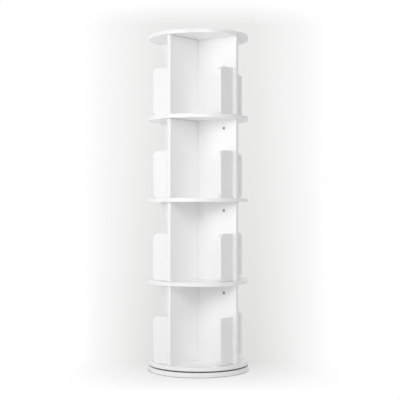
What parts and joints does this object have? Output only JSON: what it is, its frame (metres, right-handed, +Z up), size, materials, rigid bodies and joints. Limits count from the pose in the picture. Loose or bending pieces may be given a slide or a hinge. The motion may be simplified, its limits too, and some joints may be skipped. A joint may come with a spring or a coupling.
{
  "type": "revolving bookcase",
  "caption": "Tall round revolving bookcase of white board: stacked discs with crossed panels and short rounded book stops, turning as one on a ball-bearing base.",
  "frame": {"origin": "on the floor, under the middle of the base", "axes": "+Z up along the turning axis; +X along the wide panels; +Y along the back half panels"},
  "size_m": [0.4, 0.4, 1.342],
  "materials": {
    "white_board": "white melamine-faced board, satin",
    "aluminium": "mill finish",
    "steel": "polished balls",
    "zinc": "die-cast zinc",
    "felt": "pressed felt"
  },
  "bodies": {
    "base": {"base_disc": "white_board", "bearing_outer_ring": "aluminium", "floor_pad_1": "felt", "floor_pad_2": "felt", "floor_pad_3": "felt", "floor_pad_4": "felt"},
    "ball_ring": {"bearing_ball_ring": "steel"},
    "carousel": {"bearing_inner_ring": "aluminium", "shelf_disc_1": "white_board", "shelf_disc_2": "white_board", "shelf_disc_3": "white_board", "tier1_back_cam_fitting": "zinc", "tier1_back_fence": "white_board", "tier1_back_panel": "white_board", "tier1_front_cam_fitting": "zinc", "tier1_front_fence": "white_board", "tier1_front_panel": "white_board", "tier1_left_cam_fitting": "zinc", "tier1_left_fence": "white_board", "tier1_right_cam_fitting": "zinc", "tier1_right_fence": "white_board", "tier1_wide_panel": "white_board", "tier2_back_cam_fitting": "zinc", "tier2_back_fence": "white_board", "tier2_back_panel": "white_board", "tier2_front_cam_fitting": "zinc", "tier2_front_fence": "white_board", "tier2_front_panel": "white_board", "tier2_left_cam_fitting": "zinc", "tier2_left_fence": "white_board", "tier2_right_cam_fitting": "zinc", "tier2_right_fence": "white_board", "tier2_wide_panel": "white_board", "tier3_back_cam_fitting": "zinc", "tier3_back_fence": "white_board", "tier3_back_panel": "white_board", "tier3_front_cam_fitting": "zinc", "tier3_front_fence": "white_board", "tier3_front_panel": "white_board", "tier3_left_cam_fitting": "zinc", "tier3_left_fence": "white_board", "tier3_right_cam_fitting": "zinc", "tier3_right_fence": "white_board", "tier3_wide_panel": "white_board", "tier4_back_fence": "white_board", "tier4_back_panel": "white_board", "tier4_front_fence": "white_board", "tier4_front_panel": "white_board", "tier4_left_fence": "white_board", "tier4_right_fence": "white_board", "tier4_wide_panel": "white_board", "top_disc": "white_board", "turntable_disc": "white_board"}
  },
  "joints": [
    {"name": "carousel_spin", "type": "hinge", "parent": "base", "child": "carousel", "pos_m": [0, 0, 0.02225], "axis": [0, 0, 1], "continuous": true},
    {"name": "ball_orbit", "type": "hinge", "parent": "base", "child": "ball_ring", "pos_m": [0, 0, 0.02225], "axis": [0, 0, 1], "continuous": true}
  ],
  "couplings": [
    {"joint": "ball_orbit", "follows": "carousel_spin", "ratio": 0.4953}
  ]
}
